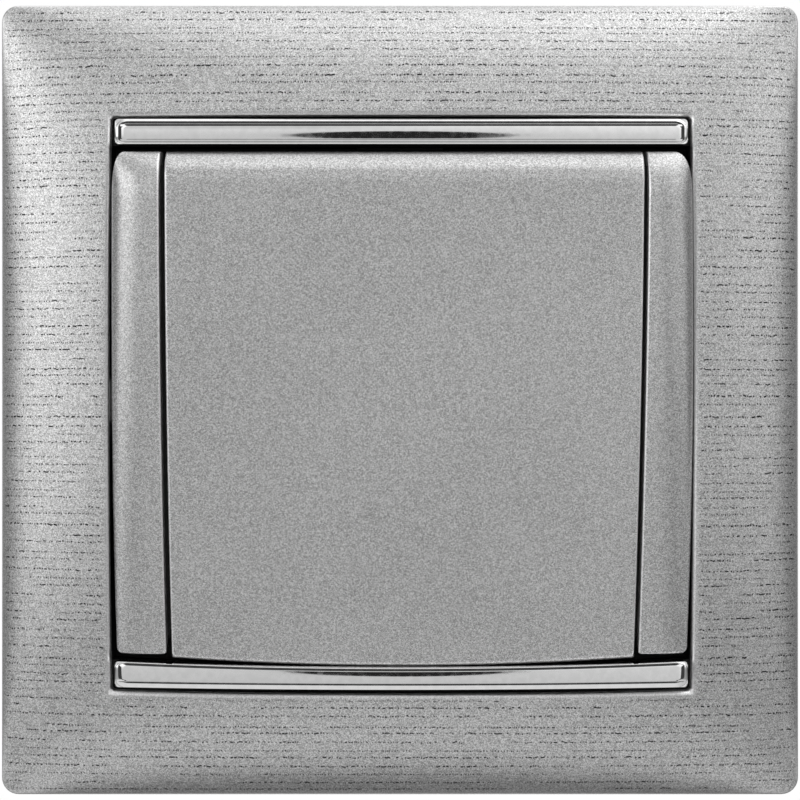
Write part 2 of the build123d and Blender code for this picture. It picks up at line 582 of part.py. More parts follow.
def housing_cover():
    low, high = PLATE_T, PLATE_T + COVER_T
    cover = prism(RectangleRounded(2 * COVER_HALF_X, 2 * COVER_HALF_Y, BASE_EDGE_R), low, high)
    cover -= window(COVER_WINDOW_HALF_X, COVER_WINDOW_HALF_Y)
    ear_y = (PIVOT_Y - EAR_HALF_Y, PIVOT_Y + EAR_HALF_Y)
    cover += both(block((COVER_WINDOW_HALF_X, EAR_OUT_X), ear_y, (EAR_LOW_Z, EAR_TOP_Z)))
    bearing = Rot(0, 90, 0) * Cylinder(TRUNNION_R + BEARING_CLEARANCE, 2 * EAR_OUT_X)
    return cover - Pos(0, PIVOT_Y, PIVOT_Z) * bearing - cover_screw_holes()


def slotted_head(x, y, z, radius):
    """A cheese head with a screwdriver slot along X."""
    head = rod(x, y, z, radius)
    half = SCREW_SLOT_W / 2
    return head - block((x - radius, x + radius), (y - half, y + half), (z[1] - SCREW_SLOT_DEPTH, z[1]))


def cover_screws():
    seat = PLATE_T + COVER_T
    screws = []
    for x, y in COVER_SCREW_PLACES:
        head = slotted_head(x, y, (seat, seat + SCREW_HEAD_T), SCREW_HEAD_R)
        screws.append(head + rod(x, y, (COVER_SCREW_END_Z, seat), COVER_SCREW_R))
    return screws


def support_plate():
    plate = prism(RectangleRounded(PLATE_SIDE, PLATE_SIDE, PLATE_CORNER_R), 0, PLATE_T)
    plate -= window(PLATE_WINDOW_HALF_X, PLATE_WINDOW_HALF_Y)
    slot = prism(SlotOverall(SLOT_LENGTH, SLOT_W), 0, PLATE_T)
    for turn in range(4):
        plate -= Rot(0, 0, 90 * turn) * Pos(FIXING_RADIUS, 0, 0) * slot
    plate -= both(rod(CLAW_SCREW_X, 0, (0, PLATE_T), PLATE_HOLE_R))
    return plate - cover_screw_holes() + lugs(0)


# ---- Claws ----------------------------------------------------------------------------------------------
def claw_screw(side):
    x, seat = side * CLAW_SCREW_X, PLATE_T + CLAW_HEAD_GAP
    head = slotted_head(x, 0, (seat, seat + CLAW_HEAD_T), CLAW_HEAD_R)
    return head + rod(x, 0, (CLAW_SCREW_END_Z, seat), CLAW_SCREW_R)


def claw(side):
    """A bent fork: a lug round the screw's end, two arms forward along the base, and toothed tips."""
    back = CLAW_PIVOT_Z - CLAW_T / 2
    width = (-CLAW_HALF_Y, CLAW_HALF_Y)
    lug = block((CLAW_ARM_X, CLAW_LUG_END_X), width, (back, back + CLAW_T))
    arm = block((CLAW_ARM_X, CLAW_ARM_X + CLAW_T), width, (back, CLAW_FRONT_Z))
    tip = block((CLAW_ARM_X, CLAW_TOOTH_X), width, (CLAW_FRONT_Z - CLAW_T, CLAW_FRONT_Z))
    hole = prism(Pos(CLAW_SCREW_X, 0) * Ellipse(CLAW_HOLE_HALF_X, CLAW_HOLE_HALF_Y), back, back + CLAW_T)
    fork = block((0, DEEP), (-CLAW_FORK_HALF_Y, CLAW_FORK_HALF_Y), (back + CLAW_T, 0))
    body = lug + arm + tip - hole - fork
    half = (CLAW_HALF_Y - CLAW_FORK_HALF_Y) / (2 * CLAW_TEETH)
    root = CLAW_TOOTH_X - CLAW_TOOTH_DEPTH
    for index in range(CLAW_TEETH):
        middle = CLAW_FORK_HALF_Y + (2 * index + 1) * half
        for y in (-middle, middle):
            notch = Polyline((root, y), (CLAW_TOOTH_X, y - half), (CLAW_TOOTH_X, y + half), close=True)
            body -= prism(make_face(notch), CLAW_FRONT_Z - CLAW_T, CLAW_FRONT_Z)
    return body if side > 0 else mirror(body, about=Plane.YZ)


# ---- Every node, by name --------------------------------------------------------------------------------
def nodes():
    fixed = {
        "surround_frame": surround_frame(),
        "frame_liner": frame_liner(),
        "chrome_strip_top": chrome_strip_top(),
        "chrome_strip_bottom": chrome_strip_bottom(),
        "support_plate": support_plate(),
        "housing_cover": housing_cover(),
        "cover_screws": cover_screws(),
        "base_housing": base_housing(),
        "common_terminal": common_terminal(),
        "load_terminal": load_terminal(),
        "fixed_contact_tip": fixed_contact_tip(),
        "clamp_spring_common": clamp_spring(1),
        "clamp_spring_load": clamp_spring(-1),
        "release_button_common": release_button(1),
        "release_button_load": release_button(-1),
        "claw_screw_left": claw_screw(-1),
        "claw_screw_right": claw_screw(1),
        "claw_left": claw(-1),
        "claw_right": claw(1),
    }
    key = {
        "key_panel": key_panel(),
        "key_wing_left": key_wing(-1),
        "key_wing_right": key_wing(1),
        "key_carrier": key_carrier(),
        "rocker_cradle": rocker_cradle(),
        "plunger": plunger(),
        "plunger_spring": plunger_spring(),
    }
    seesaw = {"contact_seesaw": contact_seesaw(), "moving_contact_tip": moving_contact_tip()}
    placed = dict(fixed)
    placed.update({name: seat_key(solid) for name, solid in key.items()})
    placed.update({name: seat_seesaw(solid) for name, solid in seesaw.items()})
    return placed


os.makedirs("parts", exist_ok=True)
for name, solid in nodes().items():
    pieces = solid if isinstance(solid, list) else solid.solids()
    standing = Compound(children=[stand_up(piece) for piece in pieces])
    export_step(standing, f"parts/{name}.step")
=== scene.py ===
import json
import math

import bmesh
import bpy
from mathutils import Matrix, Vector


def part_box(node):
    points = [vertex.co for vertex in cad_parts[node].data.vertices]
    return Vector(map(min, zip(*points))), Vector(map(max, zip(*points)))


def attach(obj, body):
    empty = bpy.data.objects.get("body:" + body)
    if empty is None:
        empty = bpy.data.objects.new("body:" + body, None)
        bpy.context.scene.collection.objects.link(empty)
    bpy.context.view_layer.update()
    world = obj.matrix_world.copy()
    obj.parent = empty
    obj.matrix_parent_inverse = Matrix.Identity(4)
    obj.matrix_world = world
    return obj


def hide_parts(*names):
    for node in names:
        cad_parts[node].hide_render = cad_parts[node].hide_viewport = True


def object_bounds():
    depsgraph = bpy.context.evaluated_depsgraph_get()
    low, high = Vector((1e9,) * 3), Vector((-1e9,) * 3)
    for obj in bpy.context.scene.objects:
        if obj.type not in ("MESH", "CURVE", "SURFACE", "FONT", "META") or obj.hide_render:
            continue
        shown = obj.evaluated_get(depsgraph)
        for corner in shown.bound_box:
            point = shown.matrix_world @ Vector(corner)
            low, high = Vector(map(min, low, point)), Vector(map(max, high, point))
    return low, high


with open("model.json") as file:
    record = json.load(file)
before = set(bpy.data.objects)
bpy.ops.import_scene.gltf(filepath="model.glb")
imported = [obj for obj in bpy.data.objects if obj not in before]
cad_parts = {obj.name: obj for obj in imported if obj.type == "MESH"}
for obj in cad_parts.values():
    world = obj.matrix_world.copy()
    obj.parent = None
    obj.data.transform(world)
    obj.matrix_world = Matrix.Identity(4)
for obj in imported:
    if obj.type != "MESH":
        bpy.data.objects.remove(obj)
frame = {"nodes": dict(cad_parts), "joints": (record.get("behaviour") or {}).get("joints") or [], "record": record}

cad_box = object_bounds()
joints = {joint["name"]: joint for joint in frame["joints"]}
MM = 0.001

# The front pieces are rebuilt here as smooth quad meshes. They are drawn in millimetres in the bench frame
# (X to the right, Y up the wall, Z out of the wall, origin between the fixing screws), and the key's pieces
# in the key's own frame, whose origin is the pivot and whose face is level.

# ---- Surround frame -------------------------------------------------------------------------------------
FRAME_CORNER_R = 1.8
RIM_Z, PILLOW_RISE, PILLOW_POWER, PILLOW_SOFTNESS = 2.5, 7.5, 2.8, 0.13
FRAME_SKIN, SKIRT_WALL = 1.6, 1.5
OPENING_LEFT, OPENING_RIGHT, OPENING_TOP, OPENING_BOTTOM = -29.97, 30.18, 29.37, -30.14
SIDE_BOW, BOTTOM_BOW, OPENING_CORNER_R = 0.15, 0.28, 0.4
LIP_R, RIM_R = 0.6, 0.25
FRONT_RINGS, UNDERSIDE_RINGS = 44, 16

# ---- Trim strips ----------------------------------------------------------------------------------------
STRIP_FOOT_Z, STRIP_CROWN_Z, STRIP_CORNER_R = 5.23, 8.48, 0.4
LOW_STRIP_END_Y, LOW_STRIP_MID_Y = (-29.60, -26.94), (-29.88, -27.62)
# A strip is a shallow crowned pad inside a bevel that runs all round. Each side, from the edge inwards, is a
# list of (length, slope in degrees at the start, slope at the end), the lower side first. The crown takes the
# rest of the width, and is given by its slopes at the upper and at the lower side.
TOP_STRIP_SIDES = ([(0.14, 26, 21), (0.09, 17.3, 16.2), (0.20, 14.5, 12.5), (0.06, 16.9, 16.2)],
                   [(0.22, 50, 37), (0.02, 37, 17.2), (0.27, 16.8, 16.0), (0.04, 13, 13), (0.25, 15.7, 14.6)])
LOW_STRIP_SIDES = ([(0.42, 26, 17), (0.02, 17, 11.5), (0.20, 11.1, 9.6)],
                   [(0.05, 70, 63), (0.02, 63, 24), (0.30, 22.8, 21.0), (0.03, 18, 5)])
STRIP_END = [(0.26, 40, 28), (0.02, 28, 12.6), (0.46, 12.1, 9.4), (0.20, 7, 2)]
TOP_STRIP_CROWN, LOW_STRIP_CROWN = (6, -8), (2.2, -9.4)
# The corner radius of the bevel's outlines, as a share of the bevel's width, and how far the fine columns go.
PAD_OUTER_CORNER, PAD_INNER_CORNER, STRIP_CORNER_FIELD = 1.3, 0.4, 1.6
STRIP_END_COLUMNS, CROWN_ROWS = 26, 20

# ---- Key ------------------------------------------------------------------------------------------------
FACE_Z, FACE_CROWN = 7.1, 0.22
KEY_TOP, WING_BOTTOM = 26.34, -25.52
PANEL_END_BOTTOM, PANEL_MID_BOTTOM = -25.95, -26.80
PANEL_X, PANEL_HALF_TOP, PANEL_HALF_BOTTOM, SEAM_BOW = (0.46, 0.30), 24.53, 23.92, 0.16
SEAM_LEFT, SEAM_RIGHT = 0.55, 0.42
WING_OUT_LEFT, WING_OUT_RIGHT, WING_OUT_TAPER, WING_OUT_BOW = -29.64, 30.03, 0.28, (0.10, 0.22)
PANEL_TOP_R, PANEL_BOTTOM_R, PANEL_SIDE_R = 3.0, 0.7, 0.3
WING_SWEEP_LEFT, WING_SWEEP_RIGHT, WING_SWEEP_Y, WING_SWEEP_POWER = 1.35, 2.0, 4.7, 2.4
WING_FOOT_OUTER_R, WING_FOOT_INNER_R, WING_SEAM_R = 0.75, 0.3, 0.3
WING_EDGE_DROP, WING_END_ROUND = (2.3, 0.9), 5.0
WING_SIDE_POWER, WING_END_POWER, WING_SOFTNESS = 2.2, 2.2, 0.20
SKIRT_Z, SEAT_Z, KEY_SKIRT_WALL, WING_SKIRT_WALL = 1.6, 5.0, 1.4, 2.5

# ---- Camera, floor and light ----------------------------------------------------------------------------
CAMERA_DISTANCE, CAMERA_LENS = 0.260, 109.9
FLOOR_DROP, FLOOR_SIZE = 0.060, 0.6
# How bright the studio is at each elevation in degrees: on the panel in front of the object, which the camera
# looks through, and in the room outside the dark gap round that panel.
PANEL_LEVELS = [(-30, 0.56), (-10, 0.60), (0, 0.64), (15, 0.78), (30, 0.86)]
ROOM_LEVELS = [(-90, 0.20), (-75, 0.25), (-63, 0.35), (-58, 0.76), (-28, 0.72), (-22, 0.40),
               (-8, 0.36), (0, 0.92), (42, 0.90), (50, 1.20), (75, 1.28), (90, 1.10)]
STUDIO_PEAK = 1.28
GAP_LEVEL, PANEL_REACH, GAP_REACH, GAP_SOFTNESS = 0.05, (0.41, -0.43, 0.56), (0.53, -0.49, 0.66), 0.01
LEFT_BOOST, RIGHT_LEAN, LOW_RIGHT_LEAN = 0.42, 1.1, 0.8         # how the panel changes towards its sides
DIP_RIGHT, DIP_WIDTHS, DIP_DEPTH = -0.09, (0.04, 0.11), 0.25    # a dimmer patch high up on it, on the left
UPPER_LEFT_LEVEL, UPPER_RIGHT_LEVEL = 0.50, 1.40                # of the room's light overhead
LOW_RIGHT_LEVEL = 0.80                                          # of its light from below the horizon
LEFT_LIGHT_DIRECTION, LEFT_LIGHT_REACH, LEFT_LIGHT_LEVEL = (-58, 12), (20, 43), 0.8
BEHIND_LEVEL = 0.25                                             # just behind the wall plane, but not overhead
SIDE_LEVEL, SIDE_FADE = 0.15, (0.92, 1.0)                       # what is left far out to either side
LENS_UP, LENS_HALF_W, LENS_HALF_H, LENS_LEVEL = -0.03, 0.046, 0.16, 0.03

KEY_PIVOT = Vector(joints["key_tilt"]["pos_m"])
KEY_OUT = Vector(joints["plunger_slide"]["axis"])
KEY_UP = KEY_OUT.cross(Vector((1, 0, 0)))


def on_bench(point):
    """From the bench frame to the row frame."""
    x, y, z = point
    return Vector((x, -z, y)) * MM


def on_key(point):
    """From the key's own frame to the row frame, at rest."""
    x, y, z = point
    return KEY_PIVOT + (Vector((x, 0, 0)) + KEY_UP * y + KEY_OUT * z) * MM


# ---- Mesh helpers ---------------------------------------------------------------------------------------
def new_piece(name, points, faces, sharp_degrees=32):
    """A closed mesh piece, smooth except along edges sharper than an angle."""
    mesh = bpy.data.meshes.new(name)
    mesh.from_pydata(points, [], faces)
    work = bmesh.new()
    work.from_mesh(mesh)
    bmesh.ops.remove_doubles(work, verts=work.verts, dist=0.002 * MM)
    bmesh.ops.recalc_face_normals(work, faces=work.faces)
    work.to_mesh(mesh)
    work.free()
    mesh.shade_smooth()
    mesh.set_sharp_from_angle(angle=math.radians(sharp_degrees))
    piece = bpy.data.objects.new(name, mesh)
    bpy.context.scene.collection.objects.link(piece)
    return piece


def quads_between(first, second, closed):
    """Quads that join two rows of vertex indices."""
    count = len(first) if closed else len(first) - 1
    total = len(first)
    return [(first[i], first[(i + 1) % total], second[(i + 1) % total], second[i]) for i in range(count)]


def ring_solid(name, loops, place):
    """A solid ring through closed loops, the last joined to the first."""
    size = len(loops[0])
    points = [place(point) for loop in loops for point in loop]
    rows = [list(range(k * size, (k + 1) * size)) for k in range(len(loops))]
    faces = []
    for row, following in zip(rows, rows[1:] + rows[:1]):
        faces += quads_between(row, following, True)
    return new_piece(name, points, faces)


def shell(name, front, back, place):
    """A solid between two sheets, grids of points of one size, joined along all four borders."""
    high, wide = len(front), len(front[0])
    points = [place(point) for sheet in (front, back) for row in sheet for point in row]
    sheets = [[[s * high * wide + j * wide + i for i in range(wide)] for j in range(high)] for s in (0, 1)]
    faces = []
    for sheet in sheets:
        for row, following in zip(sheet, sheet[1:]):
            faces += quads_between(row, following, False)
    front_border, back_border = [sheet[0] + [row[-1] for row in sheet[1:]] + sheet[-1][-2::-1]
                                 + [row[0] for row in sheet[-2:0:-1]] for sheet in sheets]
    faces += quads_between(front_border, back_border, True)
    return new_piece(name, points, faces)


def with_skirts(rows, foot, low=True, high=True, first=False, last=False):
    """A grid with its borders carried down to a height, on the sides that are named."""
    def dropped(point):
        return (point[0], point[1], foot)
    grid = []
    for row in rows:
        start = [dropped(row[0])] if first else []
        end = [dropped(row[-1])] if last else []
        grid.append(start + list(row) + end)
    start = [[dropped(point) for point in grid[0]]] if low else []
    end = [[dropped(point) for point in grid[-1]]] if high else []
    return start + grid + end


def stations(length, low_r, high_r, middle_steps, edge_steps=6):
    """Distances from 0 to length, close together within the rounded edges at both ends."""
    turns = [math.pi / 2 * k / edge_steps for k in range(edge_steps)]
    low = [low_r * (1 - math.cos(turn)) for turn in turns]
    high = [length - high_r * (1 - math.cos(turn)) for turn in reversed(turns)]
    span = length - low_r - high_r
    return low + [low_r + span * k / middle_steps for k in range(middle_steps + 1)] + high


def roll(distance, radius):
    """How far a rounded edge has dropped, at a distance from the edge."""
    inside = max(0.0, radius - distance)
    return radius - math.sqrt(max(radius**2 - inside**2, 0.0))


def soft_root(value, softness):
    """A square root from 0 to 1 whose slope stays finite at 0."""
    full = math.sqrt(1 + softness**2) - softness
    return (math.sqrt(max(value + softness**2, 0.0)) - softness) / full


# ---- Surround frame -------------------------------------------------------------------------------------
_, frame_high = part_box("surround_frame")
FRAME_HALF_W, FRAME_HALF_H = frame_high.x / MM, frame_high.z / MM


def pillow_height(x, y):
    """Height of the frame's front surface."""
    across = 1 - min(abs(x / FRAME_HALF_W), 1) ** PILLOW_POWER
    along = 1 - min(abs(y / FRAME_HALF_H), 1) ** PILLOW_POWER
    return RIM_Z + PILLOW_RISE * soft_root(across * along, PILLOW_SOFTNESS)


def rounded_loop(left, right, bottom, top, radius, side_steps=72, corner_steps=8):
    """A closed loop of (x, y) points round a rectangle with rounded corners, from the right side up."""
    corners = [(right - radius, top - radius, 0), (left + radius, top - radius, 90),
               (left + radius, bottom + radius, 180), (right - radius, bottom + radius, 270)]
    arcs = []
    for x, y, start in corners:
        turns = [math.radians(start + 90 * k / corner_steps) for k in range(corner_steps + 1)]
        arcs.append([(x + radius * math.cos(turn), y + radius * math.sin(turn)) for turn in turns])
    loop = []
    for arc, following in zip(arcs, arcs[1:] + arcs[:1]):
        (x0, y0), (x1, y1) = arc[-1], following[0]
        side = [(x0 + (x1 - x0) * k / side_steps, y0 + (y1 - y0) * k / side_steps)
                for k in range(1, side_steps)]
        loop += arc + side
    return loop


def opening_loop():
    """The frame's opening, its sides and lower edge slightly bowed."""
    middle_x, middle_y = (OPENING_LEFT + OPENING_RIGHT) / 2, (OPENING_TOP + OPENING_BOTTOM) / 2
    half_x, half_y = (OPENING_RIGHT - OPENING_LEFT) / 2, (OPENING_TOP - OPENING_BOTTOM) / 2
    loop = []
    for x, y in rounded_loop(OPENING_LEFT, OPENING_RIGHT, OPENING_BOTTOM, OPENING_TOP, OPENING_CORNER_R):
        u, v = (x - middle_x) / half_x, (y - middle_y) / half_y
        low_bow = BOTTOM_BOW * max(-v, 0.0)
        loop.append((x + SIDE_BOW * u * (1 - v**2), y - low_bow * (1 - u**2)))
    return loop


def frame_loops():
    """The frame's surface as closed loops: up the skirt, over the front, round the lip and back under it."""
    outer = rounded_loop(-FRAME_HALF_W, FRAME_HALF_W, -FRAME_HALF_H, FRAME_HALF_H, FRAME_CORNER_R)
    inner_r = FRAME_CORNER_R - SKIRT_WALL
    hollow_w, hollow_h = FRAME_HALF_W - SKIRT_WALL, FRAME_HALF_H - SKIRT_WALL
    hollow = rounded_loop(-hollow_w, hollow_w, -hollow_h, hollow_h, inner_r)
    opening = opening_loop()
    band = FRAME_HALF_W - OPENING_RIGHT

    def between(start, end, share):
        return [(x0 + (x1 - x0) * share, y0 + (y1 - y0) * share) for (x0, y0), (x1, y1) in zip(start, end)]

    def at(loop, height):
        return [(x, y, height(x, y)) for x, y in loop]

    loops = [at(outer, lambda x, y: z) for z in (0, RIM_Z / 2, RIM_Z - RIM_R)]
    for distance in stations(band, RIM_R, LIP_R, FRONT_RINGS):
        ring = between(outer, opening, distance / band)
        drop = roll(band - distance, LIP_R)
        rim = roll(distance, RIM_R) * math.exp(-distance / RIM_R)
        loops.append(at(ring, lambda x, y: pillow_height(x, y) - drop - rim))
    loops.append(at(opening, lambda x, y: pillow_height(x, y) - FRAME_SKIN))
    for k in range(1, UNDERSIDE_RINGS + 1):
        ring = between(opening, hollow, k / UNDERSIDE_RINGS)
        loops.append(at(ring, lambda x, y: pillow_height(x, y) - FRAME_SKIN))
    loops.append(at(hollow, lambda x, y: 0))
    return loops


def edge_distance(piece):
    """Stores how far each point of the frame's front lies from the rim and the opening, in millimetres."""
    mesh = piece.data
    values = []
    for vertex in mesh.vertices:
        x, y = vertex.co.x / MM, vertex.co.z / MM
        rim = min(FRAME_HALF_W - abs(x), FRAME_HALF_H - abs(y))
        sides = (OPENING_LEFT - SIDE_BOW - x, x - OPENING_RIGHT - SIDE_BOW,
                 y - OPENING_TOP, OPENING_BOTTOM - BOTTOM_BOW - y)
        values.append(min(rim, max(sides)))
    layer = mesh.attributes.new("edge_distance", "FLOAT", "POINT")
    layer.data.foreach_set("value", values)


# ---- Trim strips ----------------------------------------------------------------------------------------
def slope_profile(stretches, steps=6):
    """Distances and drops below the inner end, from the edge inwards, along stretches of changing slope."""
    distances, heights = [0.0], [0.0]
    for length, start, end in stretches:
        for k in range(steps):
            slope = math.radians(start + (end - start) * (k + 0.5) / steps)
            distances.append(distances[-1] + length / steps)
            heights.append(heights[-1] + math.tan(slope) * length / steps)
    return distances, [heights[-1] - height for height in heights]


def drop_at(profile, share):
    """The drop of a profile at a share of its reach from the edge, nothing beyond its inner end."""
    distances, drops = profile
    distance = share * distances[-1]
    for (d0, d1), (h0, h1) in zip(zip(distances, distances[1:]), zip(drops, drops[1:])):
        if distance <= d1:
            return h0 + (h1 - h0) * (distance - d0) / (d1 - d0)
    return 0.0


def reach(profile):
    """How far a profile goes inwards from the edge."""
    return profile[0][-1]


def corner_level(first, second):
    """How far in a point lies from a corner's two sides, on outlines whose corner radius shrinks inwards.

    The second value is the first side's part in it, from 0 to 1 round the corner."""
    low, high = 0.0, min(first, second, 1.0)
    for _ in range(12):
        level = (low + high) / 2
        radius = PAD_OUTER_CORNER + (PAD_INNER_CORNER - PAD_OUTER_CORNER) * level
        short = [max(level + radius - side, 0.0) for side in (first, second)]
        if math.hypot(*short) <= radius:
            low = level
        else:
            high = level
    total = short[0] ** 2 + short[1] ** 2
    return high, short[0] ** 2 / total if total else 1.0


def strip_drop(from_low, from_high, from_end, lower, upper, ends, crown_slopes):
    """How far a strip's top lies below its crest, by the distances from its lower, upper and end edges."""
    start, end = [math.radians(slope) for slope in crown_slopes]
    crown = from_low + from_high - reach(lower) - reach(upper)
    along = min(max((from_high - reach(upper)) / crown, 0.0), 1.0)
    crest = start / (start - end)
    drop = crown * (start - end) / 2 * (along - crest) ** 2
    side, from_side = lower, from_low / reach(lower)
    if from_high / reach(upper) < from_side:
        side, from_side = upper, from_high / reach(upper)
    inwards, side_part = corner_level(from_side, from_end / reach(ends))
    return drop + side_part * drop_at(side, inwards) + (1 - side_part) * drop_at(ends, inwards)


def trim_strip(name, left, right, edges_at, side_slopes, crown_slopes, sections):
    """A polished bar between two edges, bevelled all round. edges_at gives its (low, high) edge at each x."""
    lower, upper, end_side = [slope_profile(slopes) for slopes in (*side_slopes, STRIP_END)]
    length = right - left
    ends = [STRIP_CORNER_FIELD * k / STRIP_END_COLUMNS for k in range(STRIP_END_COLUMNS + 1)]
    middle = [ends[-1] + (length - 2 * ends[-1]) * k / sections for k in range(1, sections)]
    along = ends + middle + [length - d for d in reversed(ends)]
    columns = []
    for distance in along:
        low, high = edges_at(left + distance)
        from_end = min(distance, length - distance)
        corner = roll(from_end, STRIP_CORNER_R)
        width = high - low
        squeeze = 1 - 2 * corner / width
        inner = width - reach(upper) - reach(lower)
        stops = lower[0] + [reach(lower) + inner * k / CROWN_ROWS for k in range(1, CROWN_ROWS)]
        stops += [width - d for d in reversed(upper[0])]
        drops = [strip_drop(d, width - d, from_end, lower, upper, end_side, crown_slopes) for d in stops]
        columns.append([(left + distance, low + corner + d * squeeze, STRIP_CROWN_Z - drop)
                        for d, drop in zip(stops, drops)])
    rows = [list(row) for row in zip(*columns)]
    front = with_skirts(rows, STRIP_FOOT_Z, first=True, last=True)
    back = [[(x, y, STRIP_FOOT_Z) for x, y, _ in row] for row in front]
    return shell(name, front, back, on_bench)


# ---- Key ------------------------------------------------------------------------------------------------
def at_height(y, value_top, value_bottom):
    """A value that changes evenly from the key's top to the wings' lower end."""
    return value_top + (value_bottom - value_top) * (KEY_TOP - y) / (KEY_TOP - WING_BOTTOM)


def bow(y):
    """1 at half the key's height, 0 at its ends."""
    middle, half = (KEY_TOP + WING_BOTTOM) / 2, (KEY_TOP - WING_BOTTOM) / 2
    return 1 - ((y - middle) / half) ** 2


def panel_half(y):
    """Half the panel's width."""
    return at_height(y, PANEL_HALF_TOP, PANEL_HALF_BOTTOM) + SEAM_BOW * bow(y)


def panel_edge(side, y):
    """The panel's edge on one side, -1 for the left and 1 for the right."""
    return at_height(y, *PANEL_X) + side * panel_half(y)


def wing_inner(side, y):
    """A wing's edge along the seam."""
    return panel_edge(side, y) + side * (SEAM_RIGHT if side > 0 else SEAM_LEFT)


def wing_outer(side, y):
    """A wing's outer edge before its corners are rounded."""
    share = max(0.0, y / WING_BOTTOM)
    edge, out = (WING_OUT_RIGHT, WING_OUT_BOW[1]) if side > 0 else (WING_OUT_LEFT, WING_OUT_BOW[0])
    return edge + side * (out * bow(y) - WING_OUT_TAPER * share**2)


def face_height(y):
    """Height of the key's gently crowned face over the pivot."""
    return FACE_Z - FACE_CROWN * (1 - bow(y))


def key_panel():
    """The key's middle panel: rolled over at the top, its lower edge an arc."""
    width = 2 * PANEL_HALF_TOP
    across = [2 * d / width - 1 for d in stations(width, PANEL_SIDE_R, PANEL_SIDE_R, 64)]
    length = KEY_TOP - PANEL_MID_BOTTOM
    along = [d / length for d in stations(length, PANEL_BOTTOM_R, PANEL_TOP_R, 64, 12)]
    rows = []
    for share in along:
        row = []
        for u in across:
            low = PANEL_MID_BOTTOM + (PANEL_END_BOTTOM - PANEL_MID_BOTTOM) * u**2
            y = low + (KEY_TOP - low) * share
            half = panel_half(y)
            ends = roll(KEY_TOP - y, PANEL_TOP_R) + roll(y - low, PANEL_BOTTOM_R)
            z = face_height(y) - ends - roll((1 - abs(u)) * half, PANEL_SIDE_R)
            row.append((at_height(y, *PANEL_X) + u * half, y, z))
        rows.append(row)
    front = with_skirts(rows, SKIRT_Z)
    middle_y = (KEY_TOP + PANEL_END_BOTTOM) / 2
    inner_height = 1 - KEY_SKIRT_WALL / (KEY_TOP - middle_y)
    inner = [[(x, middle_y + (y - middle_y) * inner_height, SEAT_Z) for x, y, _ in row] for row in rows]
    return shell("key_panel_lacquered", front, with_skirts(inner, SKIRT_Z), on_key)


def wing_height(share, y):
    """Height of a wing's surface, at a share of its width from the seam outwards."""
    outwards = 1 - share**WING_SIDE_POWER
    upwards = 1 - max((y - KEY_TOP + WING_END_ROUND) / WING_END_ROUND, 0.0) ** WING_END_POWER
    return face_height(y) - at_height(y, *WING_EDGE_DROP) * (1 - soft_root(outwards * upwards, WING_SOFTNESS))


def seam_distance(piece, side=0):
    """Stores how far each point of a key piece lies from its nearest seam edge, in millimetres."""
    values = []
    for vertex in piece.data.vertices:
        offset = vertex.co - KEY_PIVOT
        x, y = offset.x / MM, offset.dot(KEY_UP) / MM
        edges = [wing_inner(side, y)] if side else [panel_edge(-1, y), panel_edge(1, y)]
        values.append(min(abs(x - edge) for edge in edges))
    layer = piece.data.attributes.new("edge_distance", "FLOAT", "POINT")
    layer.data.foreach_set("value", values)
    return piece


def swept_outer(side, y):
    """A wing's outer edge with its swept upper corner and its small lower corner."""
    over = max(0.0, y - (KEY_TOP - WING_SWEEP_Y)) / WING_SWEEP_Y
    full = WING_SWEEP_RIGHT if side > 0 else WING_SWEEP_LEFT
    sweep = full * (1 - max(1 - over**WING_SWEEP_POWER, 0.0) ** (1 / WING_SWEEP_POWER))
    return wing_outer(side, y) - side * (sweep + roll(y - WING_BOTTOM, WING_FOOT_OUTER_R))


def key_wing(side):
    """A wing of the key, rounded over outwards and at the top."""
    name = "key_wing_right_lacquered" if side > 0 else "key_wing_left_lacquered"
    length = KEY_TOP - WING_BOTTOM
    along = stations(length, WING_FOOT_OUTER_R, WING_SWEEP_Y, 70, 20)
    width = abs(wing_outer(side, 0) - wing_inner(side, 0))
    across = [d / width for d in stations(width, WING_SEAM_R, width / 2, 8, 16)]
    rows = []
    for distance in along:
        y = WING_BOTTOM + distance
        inner = wing_inner(side, y) + side * roll(distance, WING_FOOT_INNER_R)
        outer, full = swept_outer(side, y), wing_outer(side, y)
        row = []
        for share in across:
            x = inner + (outer - inner) * share
            z = wing_height(min(abs((x - inner) / (full - inner)), 1.0), y)
            z -= roll(abs(x - inner), WING_SEAM_R) + roll(distance, WING_SEAM_R)
            row.append((x, y, z))
        rows.append(row)
    front = with_skirts(rows, SKIRT_Z, last=True)
    middle_y = (KEY_TOP + WING_BOTTOM) / 2
    inner_height = 1 - KEY_SKIRT_WALL / (KEY_TOP - middle_y)
    inner_width = 1 - WING_SKIRT_WALL / width
    inner = []
    for row in rows:
        seam = row[0][0]
        inner.append([(seam + (x - seam) * inner_width, middle_y + (y - middle_y) * inner_height, SEAT_Z)
                      for x, y, _ in row])
    return shell(name, front, with_skirts(inner, SKIRT_Z, last=True), on_key)


